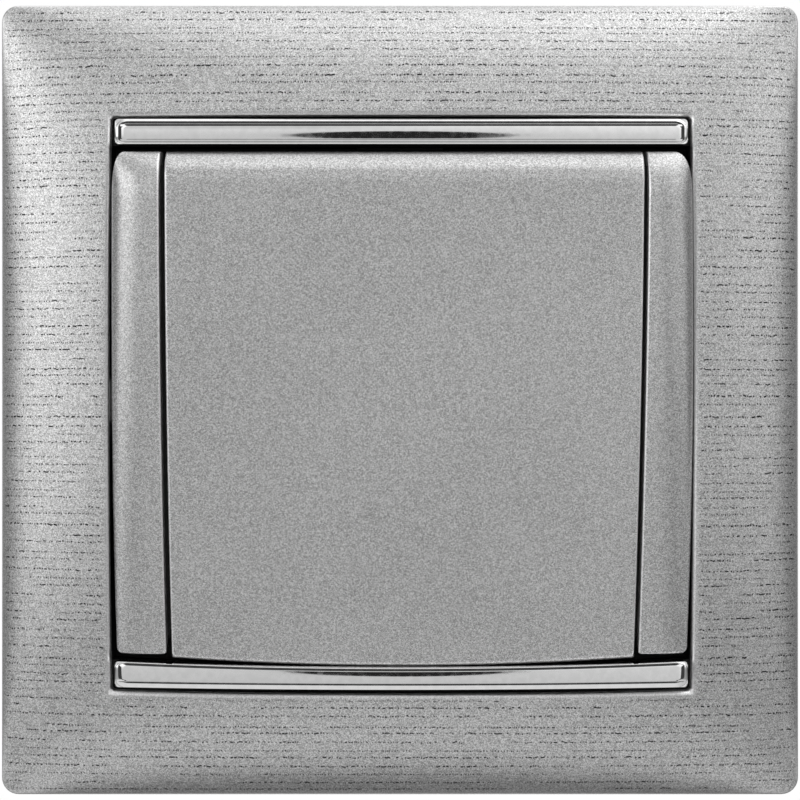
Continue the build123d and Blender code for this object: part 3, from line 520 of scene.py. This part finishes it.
# ---- Material helpers -----------------------------------------------------------------------------------
class Graph:
    """A node tree, with short ways to add its nodes."""

    def __init__(self, owner, place="Object"):
        owner.use_nodes = True
        self.tree = owner.node_tree
        self.tree.nodes.clear()
        self.place = self.tree.nodes.new("ShaderNodeTexCoord").outputs[place]

    def feed(self, socket, value):
        """Links an output to an input, or sets a plain value on it."""
        if isinstance(value, bpy.types.NodeSocket):
            self.tree.links.new(value, socket)
        else:
            socket.default_value = value

    def math(self, operation, *values):
        node = self.tree.nodes.new("ShaderNodeMath")
        node.operation = operation
        for socket, value in zip(node.inputs, values):
            self.feed(socket, value)
        return node.outputs[0]

    def stretched(self, x, y, z):
        """Object coordinates in millimetres, stretched by a factor on each axis."""
        node = self.tree.nodes.new("ShaderNodeVectorMath")
        node.operation = "MULTIPLY"
        self.feed(node.inputs[0], self.place)
        node.inputs[1].default_value = (x / MM, y / MM, z / MM)
        return node.outputs[0]

    def axes(self, vector):
        node = self.tree.nodes.new("ShaderNodeSeparateXYZ")
        self.feed(node.inputs[0], vector)
        return list(node.outputs)

    def joined(self, x, y, z):
        node = self.tree.nodes.new("ShaderNodeCombineXYZ")
        for socket, value in zip(node.inputs, (x, y, z)):
            self.feed(socket, value)
        return node.outputs[0]

    def noise(self, vector, scale=1.0, detail=2.0, roughness=0.5):
        node = self.tree.nodes.new("ShaderNodeTexNoise")
        self.feed(node.inputs["Vector"], vector)
        node.inputs["Scale"].default_value = scale
        node.inputs["Detail"].default_value = detail
        node.inputs["Roughness"].default_value = roughness
        return node.outputs["Fac"]

    def flakes(self, scale):
        """A random grey for each of the small cells that fill space, so many to a millimetre."""
        node = self.tree.nodes.new("ShaderNodeTexVoronoi")
        self.feed(node.inputs["Vector"], self.stretched(scale, scale, scale))
        node.inputs["Scale"].default_value = 1.0
        return self.axes(node.outputs["Color"])[0]

    def white_noise(self, value):
        node = self.tree.nodes.new("ShaderNodeTexWhiteNoise")
        node.noise_dimensions = "1D"
        self.feed(node.inputs["W"], value)
        return node.outputs["Value"]

    def spread(self, value, low, high, new_low=0.0, new_high=1.0):
        """A value taken from one range to another, and kept inside it."""
        node = self.tree.nodes.new("ShaderNodeMapRange")
        node.interpolation_type = "SMOOTHSTEP"
        for socket, given in zip(node.inputs, (value, low, high, new_low, new_high)):
            self.feed(socket, given)
        return node.outputs[0]

    def grey_mix(self, share, dark, light):
        """A grey or colour between two, by a share."""
        node = self.tree.nodes.new("ShaderNodeMix")
        node.data_type = "RGBA"
        self.feed(node.inputs["Factor"], share)
        node.inputs["A"].default_value = (*dark, 1)
        node.inputs["B"].default_value = (*light, 1)
        return node.outputs["Result"]

    def attribute(self, name):
        node = self.tree.nodes.new("ShaderNodeAttribute")
        node.attribute_name = name
        return node.outputs["Fac"]


class Surface(Graph):
    """A material's node tree round one Principled shader."""

    def __init__(self, name):
        self.material = bpy.data.materials.new(name)
        super().__init__(self.material)
        self.shader = self.tree.nodes.new("ShaderNodeBsdfPrincipled")
        output = self.tree.nodes.new("ShaderNodeOutputMaterial")
        self.tree.links.new(self.shader.outputs["BSDF"], output.inputs["Surface"])

    def bump(self, height, distance):
        node = self.tree.nodes.new("ShaderNodeBump")
        node.inputs["Distance"].default_value = distance * MM
        self.feed(node.inputs["Height"], height)
        self.feed(self.shader.inputs["Normal"], node.outputs["Normal"])

    def set(self, **values):
        """Sets the shader's inputs, named with underscores for spaces."""
        for name, value in values.items():
            self.feed(self.shader.inputs[name.replace("_", " ")], value)
        return self.material


def grey(value):
    """A colour with equal parts."""
    return (value, value, value)


def paint(piece, material):
    """Gives a piece one material."""
    piece.data.materials.clear()
    piece.data.materials.append(material)


# ---- Materials ------------------------------------------------------------------------------------------
GRAIN_SCALE = 11.0                                      # flakes to a millimetre
ROW_PITCH, ROW_WANDER, ROW_WANDER_SCALE = 0.90, 2.0, 0.12    # of the rows of strikes, in millimetres and rows
STRIKE_HALF_HEIGHT, STRIKES_TO_MM, RUNS_TO_MM = (0.05, 0.11), 6.6, 0.16
STRIKE_DEPTH, STRIKE_MARGIN = 0.97, (0.35, 0.9)         # how dark they are, how far from an edge they start
# The last value paints a highlight: it lightens the frame's colour along its rim and the opening's lip.
METAL_TONE, METAL_GRAIN, LIP_PAINTED_HIGHLIGHT = 0.63, 0.60, 0.26
# The last value paints a highlight: it lightens the key's colour along the edges of its seams.
LACQUER_TONE, LACQUER_GRAIN, SEAM_PAINTED_HIGHLIGHT = 0.315, 0.52, 0.4


def struck_aluminium():
    """Grained metal with level rows of small dark strikes, which stop short of the rim and the opening, and a
    painted highlight: a lighter colour along the rim and the opening's lip.
    """
    g = Surface("struck_aluminium")
    across, _, height_up = g.axes(g.stretched(1, 1, 1))
    fine = g.flakes(GRAIN_SCALE)
    streaks = g.spread(g.noise(g.stretched(0.4, 1, 4.5), 1.6, 1.0), 0.3, 0.7)
    drift = g.noise(g.joined(g.math("MULTIPLY", across, 0.02), height_up, 0.0), ROW_WANDER_SCALE, 1.0)
    rows = g.math("MULTIPLY_ADD", drift, ROW_WANDER, g.math("DIVIDE", height_up, ROW_PITCH))
    row = g.math("FLOOR", rows)
    centre = g.spread(g.white_noise(row), 0.0, 1.0, 0.35, 0.65)
    off = g.math("SUBTRACT", g.math("FRACT", rows), centre)
    jitter = g.noise(g.joined(across, g.math("MULTIPLY", row, 3.7), 0.0), 2.0, 1.0)
    off = g.math("ADD", off, g.math("MULTIPLY", g.math("SUBTRACT", jitter, 0.5), 0.4))
    line = g.spread(g.math("ABSOLUTE", off), *STRIKE_HALF_HEIGHT, 1.0, 0.0)
    specks = g.noise(g.joined(g.math("MULTIPLY", across, STRIKES_TO_MM), g.math("MULTIPLY", row, 9.3), 0.0),
                     1.0, 0.0)
    runs = g.noise(g.joined(g.math("MULTIPLY", across, RUNS_TO_MM), g.math("MULTIPLY", row, 5.1), 0.0),
                   1.0, 1.0)
    dots = g.math("MULTIPLY", g.spread(specks, 0.48, 0.58), g.spread(runs, 0.34, 0.48))
    edge = g.attribute("edge_distance")
    marks = g.math("MULTIPLY", g.math("MULTIPLY", line, dots), g.spread(edge, *STRIKE_MARGIN))
    strength = g.spread(edge, 0.2, 0.6, METAL_GRAIN / 2, METAL_GRAIN)
    grain = g.math("MULTIPLY", g.math("SUBTRACT", fine, 0.5), strength)
    tone = g.math("MULTIPLY_ADD", g.math("SUBTRACT", streaks, 0.5), 0.06, g.math("ADD", grain, METAL_TONE))
    # Painted highlight: a lighter colour along the rim and the opening's lip, where their small roundings catch
    # the light.
    tone = g.math("ADD", tone, g.spread(edge, 0.05, 0.28, LIP_PAINTED_HIGHLIGHT, 0.0))
    colour = g.math("MULTIPLY", tone, g.math("MULTIPLY_ADD", marks, -STRIKE_DEPTH, 1.0))
    g.bump(g.math("SUBTRACT", streaks, marks), 0.003)
    return g.set(Base_Color=colour, Metallic=1.0, Roughness=g.spread(streaks, 0.0, 1.0, 0.36, 0.44))


def silver_key():
    """Satin silver lacquer with a fine flake, and a painted highlight: a lighter colour along the seams' edges."""
    g = Surface("silver_key")
    flake = g.flakes(GRAIN_SCALE)
    cloud = g.spread(g.noise(g.stretched(1, 1, 1), 0.06, 1.0), 0.35, 0.65)
    # Painted highlight: a lighter colour along each seam's edges, where their small roundings catch the light.
    seam_highlight = g.spread(g.attribute("edge_distance"), 0.12, 0.28, SEAM_PAINTED_HIGHLIGHT, 0.0)
    tone = g.math("ADD", g.math("MULTIPLY", flake, LACQUER_GRAIN), g.math("MULTIPLY_ADD", cloud, 0.03, seam_highlight))
    g.bump(cloud, 0.01)
    colour = g.math("ADD", tone, LACQUER_TONE)
    return g.set(Base_Color=colour, Metallic=1.0, Roughness=g.spread(flake, 0.0, 1.0, 0.34, 0.40))


def chrome_trim():
    """Polished plating with a faint haze and the slight waviness of its moulding."""
    g = Surface("chrome_trim")
    haze = g.noise(g.stretched(1, 1, 1), 1.2, 3.0)
    wave = g.noise(g.stretched(0.05, 0.4, 0.4), 1.0, 1.0)
    g.bump(wave, 0.01)
    colour = g.grey_mix(g.spread(haze, 0.3, 0.7), grey(0.84), grey(0.90))
    return g.set(Base_Color=colour, Metallic=1.0, Roughness=g.spread(haze, 0.3, 0.7, 0.03, 0.07))


def moulded(name, dark, light, rough=0.45, grain=0.02, shine=0.5):
    """Moulded plastic with a fine spark texture."""
    g = Surface(name)
    spark = g.noise(g.stretched(1, 1, 1), 3.0, 4.0, 0.6)
    cloud = g.noise(g.stretched(1, 1, 1), 0.12, 2.0)
    tone = g.math("ADD", g.math("MULTIPLY", spark, 0.4), g.math("MULTIPLY", cloud, 0.6))
    g.bump(spark, grain)
    colour = g.grey_mix(g.spread(tone, 0.3, 0.7), dark, light)
    return g.set(Base_Color=colour, Roughness=g.spread(spark, 0.3, 0.7, rough - 0.06, rough + 0.06),
                 Specular_IOR_Level=shine)


def sheet_metal(name, dark, light, rough=0.32, stretch=(0.4, 1, 3.0)):
    """Rolled or plated metal with faint drawing lines and a cloudy tone."""
    g = Surface(name)
    lines = g.noise(g.stretched(*stretch), 2.0, 3.0, 0.6)
    cloud = g.noise(g.stretched(1, 1, 1), 0.15, 3.0)
    tone = g.math("ADD", g.math("MULTIPLY", lines, 0.45), g.math("MULTIPLY", cloud, 0.55))
    g.bump(lines, 0.01)
    colour = g.grey_mix(g.spread(tone, 0.32, 0.68), dark, light)
    return g.set(Base_Color=colour, Metallic=1.0,
                 Roughness=g.spread(cloud, 0.3, 0.7, rough - 0.08, rough + 0.08))


materials = {
    "struck_aluminium": struck_aluminium(),
    "silver_key": silver_key(),
    "chrome_trim": chrome_trim(),
    "black_plastic": moulded("black_plastic", grey(0.006), grey(0.011), 0.5, shine=0.2),
    "grey_plastic": moulded("grey_plastic", (0.13, 0.135, 0.14), (0.17, 0.175, 0.18)),
    "white_plastic": moulded("white_plastic", (0.66, 0.66, 0.64), (0.74, 0.74, 0.72), 0.42, 0.03),
    "plunger_plastic": moulded("plunger_plastic", (0.66, 0.63, 0.55), (0.74, 0.71, 0.63), 0.3, 0.01),
    "button_plastic": moulded("button_plastic", (0.55, 0.12, 0.015), (0.66, 0.17, 0.02), 0.4),
    "zinc_steel": sheet_metal("zinc_steel", (0.48, 0.50, 0.52), (0.62, 0.64, 0.67)),
    "screw_steel": sheet_metal("screw_steel", (0.52, 0.51, 0.46), (0.68, 0.67, 0.62), 0.26),
    "spring_steel": sheet_metal("spring_steel", grey(0.50), grey(0.62), 0.24),
    "terminal_brass": sheet_metal("terminal_brass", (0.62, 0.42, 0.16), (0.76, 0.56, 0.27), 0.28),
    "contact_silver": sheet_metal("contact_silver", (0.74, 0.73, 0.70), (0.84, 0.83, 0.80), 0.30),
}

# ---- Pieces ---------------------------------------------------------------------------------------------
strip_low, strip_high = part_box("chrome_strip_top")
strip_left, strip_right = strip_low.x / MM, strip_high.x / MM
top_strip_edges = (strip_low.z / MM, strip_high.z / MM)


def low_strip_edges(x):
    """The lower strip's (low, high) edge, both arcs that sag towards the middle."""
    half = (strip_right - strip_left) / 2
    bend = ((x - strip_left) / half - 1) ** 2
    return [middle + (end - middle) * bend for end, middle in zip(LOW_STRIP_END_Y, LOW_STRIP_MID_Y)]


surround = ring_solid("surround_frame_struck", frame_loops(), on_bench)
edge_distance(surround)
front_pieces = [
    (surround, "surround_frame", "insert", "struck_aluminium"),
    (trim_strip("chrome_strip_top_polished", strip_left, strip_right, lambda x: top_strip_edges,
                TOP_STRIP_SIDES, TOP_STRIP_CROWN, 40),
     "chrome_strip_top", "insert", "chrome_trim"),
    (trim_strip("chrome_strip_bottom_polished", strip_left, strip_right, low_strip_edges,
                LOW_STRIP_SIDES, LOW_STRIP_CROWN, 60),
     "chrome_strip_bottom", "insert", "chrome_trim"),
    (seam_distance(key_panel()), "key_panel", "key", "silver_key"),
    (seam_distance(key_wing(-1), -1), "key_wing_left", "key", "silver_key"),
    (seam_distance(key_wing(1), 1), "key_wing_right", "key", "silver_key"),
]
for piece, node, body, slot in front_pieces:
    paint(piece, materials[slot])
    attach(piece, body)
    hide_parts(node)

replaced = {node for _, node, _, _ in front_pieces}
for subpart in frame["record"]["subparts"]:
    if subpart["node"] not in replaced:
        paint(frame["nodes"][subpart["node"]], materials[subpart["material_slot"]])


# ---- Floor, light and camera ----------------------------------------------------------------------------
def floor():
    half = FLOOR_SIZE / 2
    z = cad_box[0].z - FLOOR_DROP
    mesh = bpy.data.meshes.new("floor")
    corners = [(-half, -half, z), (half, -half, z), (half, half, z), (-half, half, z)]
    mesh.from_pydata(corners, [], [(0, 1, 2, 3)])
    piece = bpy.data.objects.new("floor", mesh)
    bpy.context.scene.collection.objects.link(piece)
    g = Surface("pale_floor")
    g.set(Base_Color=g.grey_mix(g.noise(g.place, 8.0, 3.0), grey(0.80), grey(0.84)), Roughness=0.8)
    paint(piece, g.material)
    piece.visible_glossy = False


def direction_of(azimuth, elevation):
    """The direction at an azimuth, to the right of straight out, and an elevation, in degrees."""
    turn, rise = math.radians(azimuth), math.radians(elevation)
    return Vector((math.sin(turn) * math.cos(rise), -math.cos(turn) * math.cos(rise), math.sin(rise)))


class Studio(Graph):
    """The world's node tree: brightness by direction, given by its parts to the right, in depth and up."""

    def __init__(self, world):
        super().__init__(world, "Generated")
        self.right, self.depth, self.up = self.axes(self.place)

    def levels(self, stops):
        """Brightness by elevation."""
        ramp = self.tree.nodes.new("ShaderNodeValToRGB")
        elements = ramp.color_ramp.elements
        elements.remove(elements[0])
        for index, (elevation, level) in enumerate(stops):
            position = math.sin(math.radians(elevation)) / 2 + 0.5
            element = elements.new(position) if index else elements[0]
            element.position, element.color = position, (*grey(level / STUDIO_PEAK), 1)
        self.feed(ramp.inputs[0], self.math("MULTIPLY_ADD", self.up, 0.5, 0.5))
        return self.math("MULTIPLY", ramp.outputs[0], STUDIO_PEAK)

    def within(self, half_width, low, high):
        """1 inside a rounded rectangle of directions in front of the object, 0 outside it."""
        half_height = (high - low) / 2
        across = self.math("POWER", self.math("DIVIDE", self.right, half_width), 4.0)
        rise = self.math("SUBTRACT", self.up, (high + low) / 2)
        rise = self.math("POWER", self.math("DIVIDE", rise, half_height), 4.0)
        span = self.math("POWER", self.math("ADD", across, rise), 0.25)
        soft = GAP_SOFTNESS / half_height
        inside = self.spread(span, 1 - soft, 1 + soft, 1.0, 0.0)
        return self.math("MULTIPLY", inside, self.math("LESS_THAN", self.depth, 0.0))

    def lobe(self, azimuth, elevation, core, edge, level):
        """A round soft light."""
        towards = direction_of(azimuth, elevation)
        facing = self.math("MULTIPLY", self.right, towards.x)
        facing = self.math("MULTIPLY_ADD", self.depth, towards.y, facing)
        facing = self.math("MULTIPLY_ADD", self.up, towards.z, facing)
        limits = [math.cos(math.radians(angle)) for angle in (edge, core)]
        return self.spread(facing, *limits, 0.0, level)

    def blend(self, share, first, second):
        """The first value where the share is 0, the second where it is 1."""
        return self.math("MULTIPLY_ADD", share, self.math("SUBTRACT", second, first), first)


def studio_room(g):
    """The light from the room: bright overhead and to the left, dim behind the wall plane and low right."""
    left_light = g.lobe(*LEFT_LIGHT_DIRECTION, *LEFT_LIGHT_REACH, LEFT_LIGHT_LEVEL)
    above_horizon = g.spread(g.up, -0.10, 0.0)
    room = g.math("MULTIPLY_ADD", left_light, above_horizon, g.levels(ROOM_LEVELS))
    behind = g.math("MULTIPLY", g.spread(g.depth, -0.15, 0.1), g.spread(g.depth, 0.6, 0.8, 1.0, 0.0))
    behind = g.math("MULTIPLY", behind, g.spread(g.up, 0.75, 0.92, 1.0, 0.0))
    room = g.math("MULTIPLY", room, g.spread(g.math("ABSOLUTE", g.right), *SIDE_FADE, 1.0, SIDE_LEVEL))
    room = g.blend(behind, room, BEHIND_LEVEL)
    overhead = g.math("MULTIPLY", g.spread(g.right, -0.45, -0.08, UPPER_LEFT_LEVEL, 1.0),
                      g.spread(g.right, 0.05, 0.3, 1.0, UPPER_RIGHT_LEVEL))
    room = g.math("MULTIPLY", room, g.blend(g.spread(g.up, 0.35, 0.5), 1.0, overhead))
    low_right = g.spread(g.right, 0.1, 0.5, 1.0, LOW_RIGHT_LEVEL)
    return g.math("MULTIPLY", room, g.blend(g.spread(g.up, -0.12, 0.05), low_right, 1.0))


def studio_panel(g):
    """The light from the panel in front of the object, with the dark lens in its middle."""
    left_boost = g.spread(g.right, -0.24, -0.11, LEFT_BOOST, 0.0)
    left_boost = g.math("MULTIPLY", left_boost, g.spread(g.up, -0.15, 0.05))
    right_lean = g.spread(g.up, -0.15, 0.1, LOW_RIGHT_LEAN, RIGHT_LEAN)
    lean = g.math("MULTIPLY_ADD", g.math("MAXIMUM", g.right, 0.0), right_lean, left_boost)
    off_dip = g.math("ABSOLUTE", g.math("SUBTRACT", g.right, DIP_RIGHT))
    dip = g.math("MULTIPLY", g.spread(off_dip, *DIP_WIDTHS, DIP_DEPTH, 0.0), g.spread(g.up, 0.15, 0.3))
    lean = g.math("SUBTRACT", lean, dip)
    panel = g.math("MULTIPLY", g.levels(PANEL_LEVELS), g.math("ADD", lean, 1.0))
    wide = g.math("POWER", g.math("DIVIDE", g.right, LENS_HALF_W), 2.0)
    tall = g.math("POWER", g.math("DIVIDE", g.math("SUBTRACT", g.up, LENS_UP), LENS_HALF_H), 2.0)
    return g.math("MULTIPLY", panel, g.spread(g.math("ADD", wide, tall), 0.85, 1.1, LENS_LEVEL, 1.0))


def studio_world():
    """A pale studio: the panel in front, a dark gap round it, the room outside, and a white backdrop."""
    world = bpy.data.worlds.new("studio")
    bpy.context.scene.world = world
    g = Studio(world)
    level = g.blend(g.within(*GAP_REACH), studio_room(g), GAP_LEVEL)
    level = g.blend(g.within(*PANEL_REACH), level, studio_panel(g))
    camera_ray = g.tree.nodes.new("ShaderNodeLightPath").outputs["Is Camera Ray"]
    background = g.tree.nodes.new("ShaderNodeBackground")
    background.inputs["Color"].default_value = (1, 1, 1, 1)
    g.feed(background.inputs["Strength"], g.math("MAXIMUM", level, camera_ray))
    output = g.tree.nodes.new("ShaderNodeOutputWorld")
    g.tree.links.new(background.outputs[0], output.inputs["Surface"])


floor()
studio_world()

camera = bpy.data.objects.new("camera", bpy.data.cameras.new("camera"))
bpy.context.scene.collection.objects.link(camera)
camera.location = (0, -CAMERA_DISTANCE, 0)
camera.rotation_euler = (math.radians(90), 0, 0)
camera.data.lens = CAMERA_LENS
camera.data.clip_start, camera.data.clip_end = 0.01, 10
bpy.context.scene.camera = camera
bpy.context.scene.view_settings.view_transform = "Standard"
